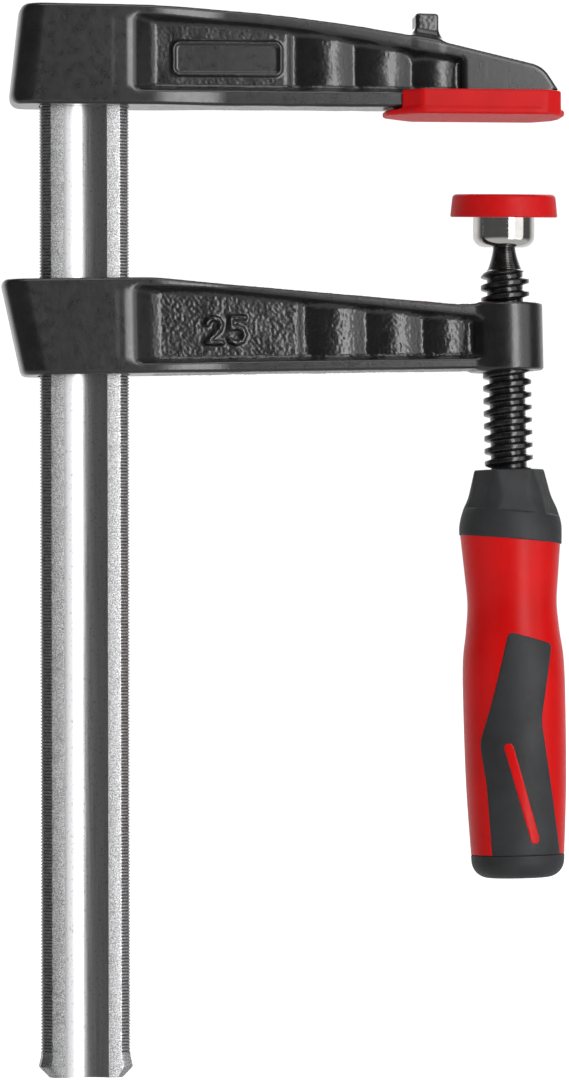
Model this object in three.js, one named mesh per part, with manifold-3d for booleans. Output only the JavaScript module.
// An F clamp: a flat steel rail with a fixed jaw at its top and a sliding arm that carries the
// clamping screw, its swivelling pressure plate and its two-colour handle.
// Millimetres. +Z runs up the rail and +X from the rail out to the jaws' tips. The origin is on
// the fixed jaw's clamping face, where the screw's axis meets it. Y = 0 is the plane of symmetry.
import * as THREE from "three";
import { mergeVertices } from "three/addons/utils/BufferGeometryUtils.js";
import Module from "manifold-3d";

const wasm = await Module();
wasm.setup();

// ---- driving dimensions -------------------------------------------------------------------

const GAP = 0.3; // between neighbouring pieces that touch on the real clamp

const RAIL = { x: -133, width: 28, thickness: 11, top: 33.4, bottom: -303 };
const RAIL_EDGE = { bevelX: 3, bevelY: 2.4 }; // bevels between the broad faces and the narrow ones
const RAIL_GROOVE = { width: 13.7, depth: 2.3 };
const RAIL_FOOT = { start: -296.5, flare: 0.8, corner: 3.2 };

const HEAD_HALF = 11; // half thickness of both castings round the rail
const JAW_HALF = 8; // half thickness of the fixed jaw beyond its head
const ARM_HALF = 8.5; // half thickness of the sliding arm beyond its head
const TAPER = { from: -113, to: -88 }; // where the castings thin down
const WEB = { floor: 4.4, valley: 3, bulge: 3, step: 3 }; // half thicknesses in the castings' recesses
const JAW_VALLEYS = [-65.4, -47.3, -29, -13.1]; // between the bulges, along X
const ARM_VALLEYS = [-63.6, -45.2, -27.1, -11.4];

const SCREW_TILT = THREE.MathUtils.degToRad(1.1); // the arm leans this much on the rail
const THREAD = { pitch: 4, major: 7.7, minor: 5.7, crest: 1.45, root: 1.45, clearance: 0.28 };
const THREAD_TOP = -48.5;
const THREAD_BOTTOM = -112.6;
const BOSS = { radius: 11.7, top: -59.2, bottom: -80.6 };

const BALL = { z: -35.5, radius: 5.1 };
const NECK = { radius: 3.35, start: -41.3, foot: 5.1 };
const TANG = { radius: 5, bottom: -160 };

const PLATE_LEAN = THREE.MathUtils.degToRad(4.5); // at rest the plate leans towards the front
const PLATE = { hub: 9.75, hubBottom: -41.2, disc: 14.9, discBottom: -31.3, discTop: -27 };
const CAP = { radius: 17.05, topRadius: 16.4, bottom: -31.7, top: -24.4, roof: 2.3, wall: 1.85 };

const PAD = { left: -33.2, right: 17.9, half: 14.5, wall: 1.6, floor: 1.7, height: 7.8 };
const PAD_LIP = { left: 4.4, right: 1.6, side: 0.5 }; // how far the lip stands out round the wall

const COLLAR = { top: -112, flatsEnd: -125.4, bottom: -134.3, slant: THREE.MathUtils.degToRad(6) };
const GRIP_DEPTH = 1.6;
const END_CAP_TOP = -234;
const HANDLE_BOTTOM = -241.5;

const ROUND = 32; // segments round a turned piece that shows
const HIDDEN_ROUND = 18; // and round one that is out of sight

// ---- looks --------------------------------------------------------------------------------

const CAST_IRON = { color: 0x2e2e30, roughness: 0.45, metalness: 0.2 };
const BRIGHT_STEEL = { color: 0xb9bbbd, roughness: 0.35, metalness: 1 };
const NICKEL = { color: 0xd6d6d4, roughness: 0.12, metalness: 1 };
const BLACK_STEEL = { color: 0x1d1b1c, roughness: 0.25, metalness: 0.9 };
const RED_PLASTIC = { color: 0xc8190f, roughness: 0.4, metalness: 0 };
const BLACK_GRIP = { color: 0x3a3b3d, roughness: 0.65, metalness: 0 };
const SEAT_PLASTIC = { color: 0xd9d5c8, roughness: 0.5, metalness: 0 };

function piece(name, geometry, look) {
  const mesh = new THREE.Mesh(geometry, new THREE.MeshStandardMaterial(look));
  mesh.name = name;
  return mesh;
}

// ---- solids -------------------------------------------------------------------------------

// A welded copy of a closed geometry, without slivers of no area and with its faces outwards.
function welded(geometry) {
  const bare = geometry.clone();
  bare.deleteAttribute("normal");
  bare.deleteAttribute("uv");
  const mesh = mergeVertices(bare, 1e-4);
  const places = mesh.getAttribute("position");
  const source = mesh.getIndex().array;
  const corner = [new THREE.Vector3(), new THREE.Vector3(), new THREE.Vector3()];
  const kept = [];
  let volume = 0;
  for (let i = 0; i < source.length; i += 3) {
    const [a, b, c] = [source[i], source[i + 1], source[i + 2]];
    if (a === b || b === c || c === a) continue;
    corner[0].fromBufferAttribute(places, a);
    corner[1].fromBufferAttribute(places, b);
    corner[2].fromBufferAttribute(places, c);
    volume += corner[0].dot(corner[1].cross(corner[2]));
    kept.push([a, b, c]);
  }
  mesh.setIndex(kept.flatMap(([a, b, c]) => (volume > 0 ? [a, b, c] : [a, c, b])));
  return mesh;
}

function toSolid(geometry) {
  const mesh = welded(geometry);
  return new wasm.Manifold(
    new wasm.Mesh({
      numProp: 3,
      vertProperties: new Float32Array(mesh.getAttribute("position").array),
      triVerts: new Uint32Array(mesh.getIndex().array),
    }),
  );
}

function toGeometry(solid) {
  const mesh = solid.getMesh();
  const geometry = new THREE.BufferGeometry();
  geometry.setAttribute("position", new THREE.BufferAttribute(mesh.vertProperties, mesh.numProp));
  geometry.setIndex(new THREE.BufferAttribute(mesh.triVerts, 1));
  geometry.computeVertexNormals();
  return geometry;
}

// Corners [x, y, radius] joined by straight lines, each corner rounded by an arc of its radius.
function rounded(corners, steps = 5) {
  const points = [];
  corners.forEach(([x, y, radius = 0], i) => {
    const here = new THREE.Vector2(x, y);
    const before = corners[(i + corners.length - 1) % corners.length];
    const after = corners[(i + 1) % corners.length];
    const back = new THREE.Vector2(before[0], before[1]).sub(here);
    const on = new THREE.Vector2(after[0], after[1]).sub(here);
    const half = back.angleTo(on) / 2;
    if (radius === 0) {
      points.push(here);
      return;
    }
    const reach = radius / Math.tan(half);
    const start = here.clone().addScaledVector(back.normalize(), reach);
    const end = here.clone().addScaledVector(on.normalize(), reach);
    const towards = back.clone().add(on).normalize();
    const centre = here.clone().addScaledVector(towards, radius / Math.sin(half));
    const from = start.clone().sub(centre).angle();
    let sweep = end.clone().sub(centre).angle() - from;
    if (sweep > Math.PI) sweep -= 2 * Math.PI;
    if (sweep < -Math.PI) sweep += 2 * Math.PI;
    for (let step = 0; step <= steps; step += 1) {
      const angle = from + (sweep * step) / steps;
      points.push(new THREE.Vector2(Math.cos(angle), Math.sin(angle)).multiplyScalar(radius).add(centre));
    }
  });
  return points;
}

// A side view outline in X and Z, given thickness from y0 to y1.
function sideSlab(points, y0, y1) {
  const slab = new THREE.ExtrudeGeometry(new THREE.Shape(points), { depth: y1 - y0, bevelEnabled: false });
  return slab.rotateX(Math.PI / 2).translate(0, y1, 0);
}

// A plan outline in X and Y, given height from z0 to z1.
function planSlab(points, z0, z1) {
  const slab = new THREE.ExtrudeGeometry(new THREE.Shape(points), { depth: z1 - z0, bevelEnabled: false });
  return slab.translate(0, 0, z0);
}

// A profile [radius, z] turned about the Z axis; it starts and ends on the axis or closes on itself.
function turned(profile, segments = ROUND, start = 0) {
  const points = profile.map(([radius, z]) => new THREE.Vector2(radius, z));
  return new THREE.LatheGeometry(points, segments, start).rotateX(Math.PI / 2);
}

// Points on a sphere about (0, centreZ), from one angle to another, both measured up from -Z.
function sphereArc(radius, centreZ, fromDeg, toDeg, steps) {
  const points = [];
  for (let step = 0; step <= steps; step += 1) {
    const angle = THREE.MathUtils.degToRad(fromDeg + ((toDeg - fromDeg) * step) / steps);
    points.push([radius * Math.sin(angle), centreZ - radius * Math.cos(angle)]);
  }
  return points;
}

function box(x0, x1, y0, y1, z0, z1) {
  const geometry = new THREE.BoxGeometry(x1 - x0, y1 - y0, z1 - z0);
  return geometry.translate((x0 + x1) / 2, (y0 + y1) / 2, (z0 + z1) / 2);
}

// ---- rail ---------------------------------------------------------------------------------

// The rail's cross-section: bevelled narrow edges and a shallow hollow down each broad face.
function railSection() {
  const halfX = RAIL.width / 2;
  const halfY = RAIL.thickness / 2;
  const groove = RAIL_GROOVE.width / 2;
  const radius = (groove ** 2 + RAIL_GROOVE.depth ** 2) / (2 * RAIL_GROOVE.depth);
  const reach = Math.asin(groove / radius);
  const steps = 8;
  const front = [
    [halfX, -halfY + RAIL_EDGE.bevelY],
    [halfX - RAIL_EDGE.bevelX, -halfY],
  ];
  for (let step = 0; step <= steps; step += 1) {
    const angle = reach - (2 * reach * step) / steps;
    const rise = radius * Math.cos(angle) - (radius - RAIL_GROOVE.depth);
    front.push([radius * Math.sin(angle), -halfY + rise]);
  }
  front.push([-halfX + RAIL_EDGE.bevelX, -halfY], [-halfX, -halfY + RAIL_EDGE.bevelY]);
  const back = front.map(([x, y]) => [-x, -y]);
  return [...front, ...back].map(([x, y]) => new THREE.Vector2(x + RAIL.x, y));
}

// The swaged lower end: a slight flare with its corners cut off, so the arm can't slide off.
function rail() {
  const blade = toSolid(planSlab(railSection(), RAIL.bottom, RAIL.top));
  const half = RAIL.width / 2;
  const wide = half + RAIL_FOOT.flare;
  const corner = RAIL_FOOT.corner;
  const footOutline = [
    [-half, RAIL_FOOT.start],
    [-wide, RAIL_FOOT.start - corner],
    [-wide + corner, RAIL.bottom],
    [wide - corner, RAIL.bottom],
    [wide, RAIL_FOOT.start - corner],
    [half, RAIL_FOOT.start],
  ].map(([x, z]) => new THREE.Vector2(x + RAIL.x, z));
  const halfY = RAIL.thickness / 2;
  const foot = toSolid(sideSlab(footOutline, -halfY + RAIL_EDGE.bevelY, halfY - RAIL_EDGE.bevelY));
  const cut = [-1, 1].map((side) => {
    const outline = [
      [side * wide, RAIL_FOOT.start - corner],
      [side * (wide - corner), RAIL.bottom],
      [side * (wide + corner), RAIL.bottom],
    ].map(([x, z]) => new THREE.Vector2(x + RAIL.x, z));
    return toSolid(sideSlab(outline, -RAIL.thickness, RAIL.thickness));
  });
  return toGeometry(blade.subtract(cut[0]).subtract(cut[1]).add(foot));
}

// The slot that the rail passes through, with clearance all round.
function railSlot(z0, z1) {
  const halfX = RAIL.width / 2 + GAP;
  const halfY = RAIL.thickness / 2 + GAP;
  return box(RAIL.x - halfX, RAIL.x + halfX, -halfY, halfY, z0, z1);
}

// ---- castings -----------------------------------------------------------------------------

// The plan of a casting: full thickness round the rail, thinner towards the tip at x1.
function castingPlan(x0, x1, half, tipRadius) {
  const front = [
    [x0, -HEAD_HALF, 8],
    [TAPER.from, -HEAD_HALF, 25],
    [TAPER.to, -half, 25],
    [x1, -half, tipRadius],
  ];
  const back = front.map(([x, y, radius]) => [x, -y, radius]).reverse();
  return rounded([...front, ...back]);
}

// The front of a row of bulges in plan, each a shallow arc from one valley to the next.
function bulges(valleys, steps = 6) {
  const points = [];
  for (let i = 0; i + 1 < valleys.length; i += 1) {
    const half = (valleys[i + 1] - valleys[i]) / 2;
    const radius = (half ** 2 + WEB.bulge ** 2) / (2 * WEB.bulge);
    const reach = Math.asin(half / radius);
    for (let step = i === 0 ? 0 : 1; step <= steps; step += 1) {
      const angle = -reach + (2 * reach * step) / steps;
      const rise = radius * Math.cos(angle) - (radius - WEB.bulge);
      points.push([valleys[i] + half + radius * Math.sin(angle), -WEB.valley - rise]);
    }
  }
  return points;
}

// The recess in the front of a casting: a coved wall at the rail's end, a flat floor, then bulges.
// It is the side view outline cut off by the floor's plan, and the back has its mirror image.
function recess(outline, plan, z0, z1) {
  const outside = 30;
  const side = toSolid(sideSlab(rounded(outline), -outside, outside));
  return [-1, 1].map((way) => {
    const floor = [...plan, [plan.at(-1)[0] + 5, -outside], [plan[0][0] - 5, -outside]];
    const points = floor.map(([x, y]) => new THREE.Vector2(x, -way * y));
    return toSolid(planSlab(points, z0, z1)).intersect(side);
  });
}

// The flat floor steps down to the first valley.
function recessPlan(valleys, end) {
  const cove = [
    [-118.6, -HEAD_HALF - 1],
    [-117.2, -HEAD_HALF + 1],
    [-113.4, -WEB.floor - 2],
    [-110, -WEB.floor],
  ];
  const rim = [valleys[0] - WEB.step, -WEB.floor];
  return [...cove, rim, ...bulges(valleys), [end - 0.6, -WEB.valley], [end, -HEAD_HALF]];
}

const JAW_OUTLINE = [
  [-153.6, 34.3, 3.2],
  [-78, 33.7, 560],
  [-21.2, 23.9, 60],
  [12.4, 16, 9],
  [17.6, 8.1, 0.4],
  [16, 8.1, 0],
  [16, 2, 0.5],
  [-31.4, 2, 0],
  [-31.4, 2.4, 0],
  [-157.2, 2.4, 3.4],
];

const JAW_RECESS = [
  [-121, 30.1, 0],
  [-70, 27.6, 300],
  [-13.6, 17.6, 1.5],
  [-13.6, 7.7, 1],
  [-121, 8, 0],
];

const LUG = { left: -27.9, right: -20.5, bottom: 20, top: 32.6, half: 5, root: 28, spread: 3 };

// A long octagon in plan with softened corners, cut back by leftCut and rightCut at its ends.
function octagon(left, right, half, leftCut, rightCut, radius) {
  return rounded([
    [left, -half + leftCut, radius],
    [left + leftCut, -half, radius],
    [right - rightCut, -half, radius],
    [right, -half + rightCut, radius],
    [right, half - rightCut, radius],
    [right - rightCut, half, radius],
    [left + leftCut, half, radius],
    [left, half - leftCut, radius],
  ], 3);
}

// The plan of the pad's wall, which the jaw's foot and the pad's hollow follow further in.
function padPlan(inset) {
  const cut = 5.5 - inset * 0.4;
  return octagon(PAD.left + inset, PAD.right - inset, PAD.half - inset, cut, cut, 3);
}

function lipPlan() {
  return octagon(PAD.left - PAD_LIP.left, PAD.right + PAD_LIP.right, PAD.half + PAD_LIP.side, 9.5, 8, 5);
}

// The small lug on top of the jaw, widening down to its root.
function lug() {
  const points = [
    [LUG.left - LUG.spread, LUG.bottom],
    [LUG.right + LUG.spread, LUG.bottom],
    [LUG.right + LUG.spread, LUG.root - LUG.spread],
    [LUG.right, LUG.root],
    [LUG.right, LUG.top],
    [LUG.left, LUG.top],
    [LUG.left, LUG.root],
    [LUG.left - LUG.spread, LUG.root - LUG.spread],
  ].map(([x, z]) => new THREE.Vector2(x, z));
  return toSolid(sideSlab(points, -LUG.half, LUG.half));
}

function fixedJaw() {
  const plan = castingPlan(-158, 18, JAW_HALF, 3);
  const side = toSolid(sideSlab(rounded(JAW_OUTLINE), -20, 20));
  const body = side.intersect(toSolid(planSlab(plan, -10, 40)));
  const foot = toSolid(planSlab(padPlan(PAD.wall + GAP), PAD.floor + GAP, PAD.height - GAP));
  const [front, back] = recess(JAW_RECESS, recessPlan(JAW_VALLEYS, JAW_VALLEYS.at(-1) + 1), 0, 40);
  const slot = toSolid(railSlot(-1, 40));
  return toGeometry(body.add(lug()).subtract(front).subtract(back).add(foot).subtract(slot));
}

// The slip-on pad: a tray with a lip round its face, open at the rail's end where the jaw comes in.
function jawPad() {
  const wall = toSolid(planSlab(padPlan(0), 0, PAD.height));
  const lip = toSolid(planSlab(lipPlan(), 0, PAD.floor));
  const hollow = toSolid(planSlab(padPlan(PAD.wall), PAD.floor, PAD.height + 1));
  const half = JAW_HALF + GAP;
  const mouth = toSolid(box(PAD.left - 10, PAD.left + 10, -half, half, PAD.floor, PAD.height + 1));
  return toGeometry(wall.add(lip).subtract(hollow).subtract(mouth));
}

// ---- screw thread -------------------------------------------------------------------------

// A solid right-hand screw about the Z axis, ragged at both ends, so it is cut to length after.
// grow swells it on every side, which makes the nut's thread from the screw's.
function threadedBar(z0, z1, grow) {
  const steps = 20;
  const flank = (THREAD.pitch - THREAD.crest - THREAD.root) / 2;
  const crest = THREAD.crest / 2 + grow;
  const profile = [
    [THREAD.major + grow, -crest],
    [THREAD.major + grow, crest],
    [THREAD.minor + grow, crest + flank],
    [THREAD.minor + grow, THREAD.pitch - crest - flank],
  ];
  const first = Math.floor(z0 / THREAD.pitch) - 2;
  const turns = Math.ceil(z1 / THREAD.pitch) + 2 - first;
  const rows = turns * profile.length;
  const places = [];
  for (let row = 0; row <= rows; row += 1) {
    const [radius, rise] = profile[row % profile.length];
    const turn = first + Math.floor(row / profile.length);
    for (let step = 0; step < steps; step += 1) {
      const angle = (2 * Math.PI * step) / steps;
      const z = THREAD.pitch * (turn + step / steps) + rise;
      places.push(radius * Math.cos(angle), radius * Math.sin(angle), z);
    }
  }
  // The last column of one turn joins the first column of the next, one whole profile further up.
  const spot = (row, step) => (step < steps ? row * steps + step : (row + profile.length) * steps);
  const index = [];
  const lastRow = rows - profile.length;
  for (let row = 0; row < lastRow; row += 1) {
    for (let step = 0; step < steps; step += 1) {
      const [a, b] = [spot(row, step), spot(row, step + 1)];
      const [c, d] = [spot(row + 1, step + 1), spot(row + 1, step)];
      index.push(a, b, c, a, c, d);
    }
  }
  const low = places.length / 3;
  places.push(0, 0, THREAD.pitch * (first - 1), 0, 0, THREAD.pitch * (first + turns + 1));
  closeEnd(index, low, rimOf(spot, steps, 0, profile.length), true);
  closeEnd(index, low + 1, rimOf(spot, steps, lastRow, profile.length), false);
  const geometry = new THREE.BufferGeometry();
  geometry.setAttribute("position", new THREE.Float32BufferAttribute(places, 3));
  geometry.setIndex(index);
  return geometry;
}

// One turn of a row, then straight down the profile back to where it began.
function rimOf(spot, steps, row, profileLength) {
  const rim = [];
  for (let step = 0; step <= steps; step += 1) rim.push(spot(row, step));
  for (let back = profileLength - 1; back > 0; back -= 1) rim.push(spot(row + back, 0));
  return rim;
}

function closeEnd(index, centre, rim, below) {
  rim.forEach((from, i) => {
    const to = rim[(i + 1) % rim.length];
    index.push(centre, ...(below ? [to, from] : [from, to]));
  });
}

// ---- arm group: built upright about the screw's axis, then leaned as one ------------------

const ARM_OUTLINE = [
  [-160.8, -49.4, 2],
  [-113, -49.6, 90],
  [-17, -59.4, 30],
  [0, -59.4, 0],
  [0, -80.2, 0],
  [-154.8, -79.8, 2.2],
];

const ARM_RECESS = [
  [-121, -53.3, 0],
  [-95, -54.2, 60],
  [-8, -64.3, 1.5],
  [-8, -76.2, 1.5],
  [-121, -75.8, 0],
];

function slidingArm() {
  const plan = castingPlan(-162, 0, ARM_HALF, 0);
  const side = toSolid(sideSlab(rounded(ARM_OUTLINE), -20, 20));
  const beam = side.intersect(toSolid(planSlab(plan, -90, -40)));
  const [front, back] = recess(ARM_RECESS, recessPlan(ARM_VALLEYS, -8), -90, -40);
  const edge = 0.8;
  const boss = toSolid(turned([
    [0, BOSS.bottom],
    [BOSS.radius - edge, BOSS.bottom],
    [BOSS.radius, BOSS.bottom + edge],
    [BOSS.radius, BOSS.top - edge],
    [BOSS.radius - edge, BOSS.top],
    [0, BOSS.top],
  ]));
  const slot = toSolid(railSlot(-100, -30).rotateY(SCREW_TILT));
  const nut = toSolid(threadedBar(BOSS.bottom - 2, BOSS.top + 2, THREAD.clearance));
  return toGeometry(beam.subtract(front).subtract(back).add(boss).subtract(slot).subtract(nut));
}

function spindle() {
  const lead = 1.6; // length of the chamfers at the thread's ends
  const rod = THREAD.major + 1;
  const trim = toSolid(turned([
    [0, THREAD_BOTTOM],
    [THREAD.minor, THREAD_BOTTOM],
    [rod, THREAD_BOTTOM + lead],
    [rod, THREAD_TOP - lead],
    [THREAD.minor - 0.6, THREAD_TOP + 0.6],
    [0, THREAD_TOP + 0.6],
  ]));
  const screw = toSolid(threadedBar(THREAD_BOTTOM, THREAD_TOP, 0)).intersect(trim);
  const neckAngle = THREE.MathUtils.radToDeg(Math.asin(NECK.radius / BALL.radius));
  const ball = sphereArc(BALL.radius, BALL.z, neckAngle, 180, 8);
  const flare = [];
  const drop = NECK.start - (THREAD_TOP - 1);
  for (let step = 0; step <= 5; step += 1) {
    const t = step / 5;
    flare.push([NECK.foot + (NECK.radius - NECK.foot) * Math.sqrt(t * (2 - t)), THREAD_TOP - 1 + drop * t]);
  }
  const nose = toSolid(turned([[0, THREAD_TOP - 1], ...flare, ...ball], 24));
  const tang = toSolid(turned([
    [0, TANG.bottom],
    [TANG.radius, TANG.bottom],
    [TANG.radius, THREAD_BOTTOM + 1],
    [0, THREAD_BOTTOM + 1],
  ]));
  return toGeometry(screw.add(nose).add(tang));
}

// ---- ball joint and pressure plate --------------------------------------------------------

const SEAT = { inner: BALL.radius + 0.25, outer: BALL.radius + 1.2, from: 52, to: 150 };
const RING = { inner: SEAT.outer + 0.3, outer: SEAT.outer + 1.15, from: 66, to: 78 };
const TILT_ROOM = 12; // degrees that the ring's groove reaches past the ring both ways
const MOUTH = 48; // half angle of the hub's open mouth, seen from the ball's centre

// A band of a hollow sphere about the ball's centre, so that it turns freely in any direction.
function sphereBand({ inner, outer, from, to }, steps) {
  const outside = sphereArc(outer, 0, from, to, steps);
  const inside = sphereArc(inner, 0, to, from, steps);
  return turned([...outside, ...inside, outside[0]], HIDDEN_ROUND);
}

// The retaining ring is split at one side, as a ring that is sprung into place is.
function retainingRing() {
  const ring = toSolid(sphereBand(RING, 2));
  const split = toSolid(box(0, 20, -0.8, 0.8, -10, 10));
  return toGeometry(ring.subtract(split));
}

// The nickelled plate: a disc on a hub whose spherical socket holds the ball seat and the ring.
function pressurePlate() {
  const down = -BALL.z;
  const bottom = PLATE.hubBottom + down;
  const discBottom = PLATE.discBottom + down;
  const corner = 3.4;
  const outline = rounded([
    [0, bottom, 0],
    [PLATE.hub, bottom, corner],
    [PLATE.hub, discBottom, 0],
    [PLATE.disc, discBottom, 0.6],
    [PLATE.disc, PLATE.discTop + down, 0.6],
    [0, PLATE.discTop + down, 0],
  ]).map((point) => [point.x, point.y]);
  const body = toSolid(turned(outline));
  const socket = SEAT.outer + 0.3;
  const hollow = toSolid(turned(sphereArc(socket, 0, 0, 180, 10), HIDDEN_ROUND));
  const groove = toSolid(sphereBand({
    inner: socket - 1,
    outer: RING.outer + 0.3,
    from: RING.from - TILT_ROOM,
    to: RING.to + TILT_ROOM,
  }, 3));
  const depth = -bottom + 2;
  const reach = depth * Math.tan(THREE.MathUtils.degToRad(MOUTH));
  const mouth = toSolid(turned([[0, -depth], [reach, -depth], [0, 0]]));
  return toGeometry(body.subtract(hollow).subtract(groove).subtract(mouth));
}

function plateCap() {
  const down = -BALL.z;
  const top = CAP.top + down;
  const bottom = CAP.bottom + down;
  const bore = CAP.radius - CAP.wall;
  const profile = rounded([
    [0, top - CAP.roof, 0],
    [bore, top - CAP.roof, 0],
    [bore, bottom, 0],
    [CAP.radius, bottom, 0.4],
    [CAP.topRadius, top, 1.2],
    [0, top, 0],
  ]).map((point) => [point.x, point.y]);
  return turned(profile);
}

// ---- handle -------------------------------------------------------------------------------

// The handle's side from the collar's foot down: a waist, then a belly that narrows to the end.
function handleSide(inset) {
  const belly = [
    [16.15, -131],
    [14.9, -145],
    [14.2, -154.5],
    [14.9, -163.5],
    [16, -172.5],
    [16.25, -187],
    [15.9, -212],
    [14.8, -234.2],
  ];
  const curve = new THREE.SplineCurve(belly.map(([radius, z]) => new THREE.Vector2(radius - inset, z)));
  return curve.getPoints(16).map((point) => [point.x, point.y]);
}

// A half space below or above a plane that slants across the handle.
function slantedBlock(z, above) {
  const [half, height] = [40, 160];
  const block = box(-half, half, -half, half, above ? 0 : -height, above ? height : 0);
  return toSolid(block.rotateY(COLLAR.slant).translate(0, 0, z));
}

function bellyBar(inset, z0, z1) {
  const side = handleSide(inset);
  const bar = toSolid(turned([[0, side[0][1]], ...side, [0, side.at(-1)[1]]]));
  return bar.intersect(toSolid(box(-40, 40, -40, 40, z0, z1)));
}

const TANG_HOLE = TANG.radius + GAP;

function tangHole() {
  return toSolid(turned([
    [0, TANG.bottom - GAP],
    [TANG_HOLE, TANG.bottom - GAP],
    [TANG_HOLE, THREAD_BOTTOM + 1],
    [0, THREAD_BOTTOM + 1],
  ]));
}

// The collar: six flats round a cone, and below them a rounded band that ends on a slant.
function handleCollar() {
  const hex = toSolid(turned([
    [0, COLLAR.flatsEnd - 6],
    [15.9, COLLAR.flatsEnd - 6],
    [11.3, COLLAR.top - 0.8],
    [10.6, COLLAR.top],
    [0, COLLAR.top],
  ], 6, Math.PI / 6)).intersect(slantedBlock(COLLAR.flatsEnd, true));
  const round = toSolid(turned([
    [0, -140],
    [15.9, -140],
    [16.15, -131.5],
    [15.8, -128.5],
    [14.7, -124],
    [13, -120],
    [0, -120],
  ]));
  const band = round.intersect(slantedBlock(COLLAR.flatsEnd + 0.01, false));
  const bottom = slantedBlock(COLLAR.bottom, true);
  return toGeometry(hex.add(band).intersect(bottom).subtract(screwRelief()).subtract(tangHole()));
}

// Room in the collar for the thread's run-out.
function screwRelief() {
  const radius = THREAD.minor + 0.6;
  return toSolid(turned([
    [0, THREAD_BOTTOM - GAP],
    [radius, THREAD_BOTTOM - GAP],
    [radius + 1.5, COLLAR.top + 1],
    [0, COLLAR.top + 1],
  ]));
}

// A soft panel's outline, seen from the front: [x, z, corner radius], anticlockwise.
const GRIP_OUTLINE = [
  [-3.6, -164, 1.8],
  [-9.4, -187, 12],
  [-12.8, -200.5, 5],
  [-11.2, -212, 12],
  [-9.8, -236, 0],
  [12.7, -236, 0],
  [6.5, -192, 16],
  [11, -168.2, 1.8],
];

// Moves an anticlockwise outline in by a distance, each point square to its neighbours' line.
function shrunk(points, distance) {
  return points.map((here, i) => {
    const before = points[(i + points.length - 1) % points.length];
    const after = points[(i + 1) % points.length];
    const along = after.clone().sub(before).normalize();
    return new THREE.Vector2(here.x - along.y * distance, here.y + along.x * distance);
  });
}

// A block with a panel's outline, from the handle's axis out through its front or its back.
function gripBlock(inset, turn) {
  const outline = shrunk(rounded(GRIP_OUTLINE, 3), inset);
  return toSolid(sideSlab(outline, -30, 0).rotateZ(turn));
}

const HALF_TURN = Math.PI;

function handleCore() {
  const top = slantedBlock(COLLAR.bottom - GAP, false);
  const inside = bellyBar(GRIP_DEPTH, HANDLE_BOTTOM, COLLAR.top);
  let core = bellyBar(0, END_CAP_TOP, COLLAR.top).intersect(top).subtract(tangHole());
  for (const turn of [0, HALF_TURN]) {
    core = core.subtract(gripBlock(0, turn).subtract(inside));
  }
  return toGeometry(core);
}

function gripPanel(turn) {
  const inside = bellyBar(GRIP_DEPTH - GAP, HANDLE_BOTTOM, COLLAR.top);
  const skin = bellyBar(0, END_CAP_TOP, COLLAR.top).subtract(inside);
  return toGeometry(skin.intersect(gripBlock(GAP, turn)));
}

function endCap() {
  const top = END_CAP_TOP - GAP;
  const profile = rounded([
    [0, HANDLE_BOTTOM, 0],
    [14.4, HANDLE_BOTTOM, 5.5],
    [14.8, top, 0],
    [0, top, 0],
  ]).map((point) => [point.x, point.y]);
  return turned(profile);
}

// ---- assembly -----------------------------------------------------------------------------

// The rail, with the fixed jaw and its pad.
function fixedGroup() {
  const group = new THREE.Group();
  group.add(
    piece("rail", rail(), BRIGHT_STEEL),
    piece("fixed_jaw", fixedJaw(), CAST_IRON),
    piece("jaw_pad", jawPad(), RED_PLASTIC),
  );
  return group;
}

// The arm, the screw in it and the handle, built upright and leaned together on the rail.
function leaningGroup() {
  const group = new THREE.Group();
  const seat = piece("ball_seat", sphereBand(SEAT, 6), SEAT_PLASTIC);
  seat.position.z = BALL.z;
  group.add(
    piece("sliding_arm", slidingArm(), CAST_IRON),
    piece("spindle", spindle(), BLACK_STEEL),
    seat,
    piece("handle_collar", handleCollar(), BLACK_GRIP),
    piece("handle_core", handleCore(), RED_PLASTIC),
    piece("grip_front", gripPanel(0), BLACK_GRIP),
    piece("grip_back", gripPanel(HALF_TURN), BLACK_GRIP),
    piece("end_cap", endCap(), BLACK_GRIP),
  );
  group.rotation.y = -SCREW_TILT;
  return group;
}

// The pressure plate's pieces, built about the ball's centre and leaned on it.
function plateGroup() {
  const group = new THREE.Group();
  group.add(
    piece("retaining_ring", retainingRing(), BRIGHT_STEEL),
    piece("pressure_plate", pressurePlate(), NICKEL),
    piece("plate_cap", plateCap(), RED_PLASTIC),
  );
  group.position.set(-BALL.z * Math.sin(SCREW_TILT), 0, BALL.z * Math.cos(SCREW_TILT));
  group.rotation.x = PLATE_LEAN;
  return group;
}

const clamp = new THREE.Group();
clamp.name = "f_clamp";
clamp.add(fixedGroup(), leaningGroup(), plateGroup());

export default clamp;
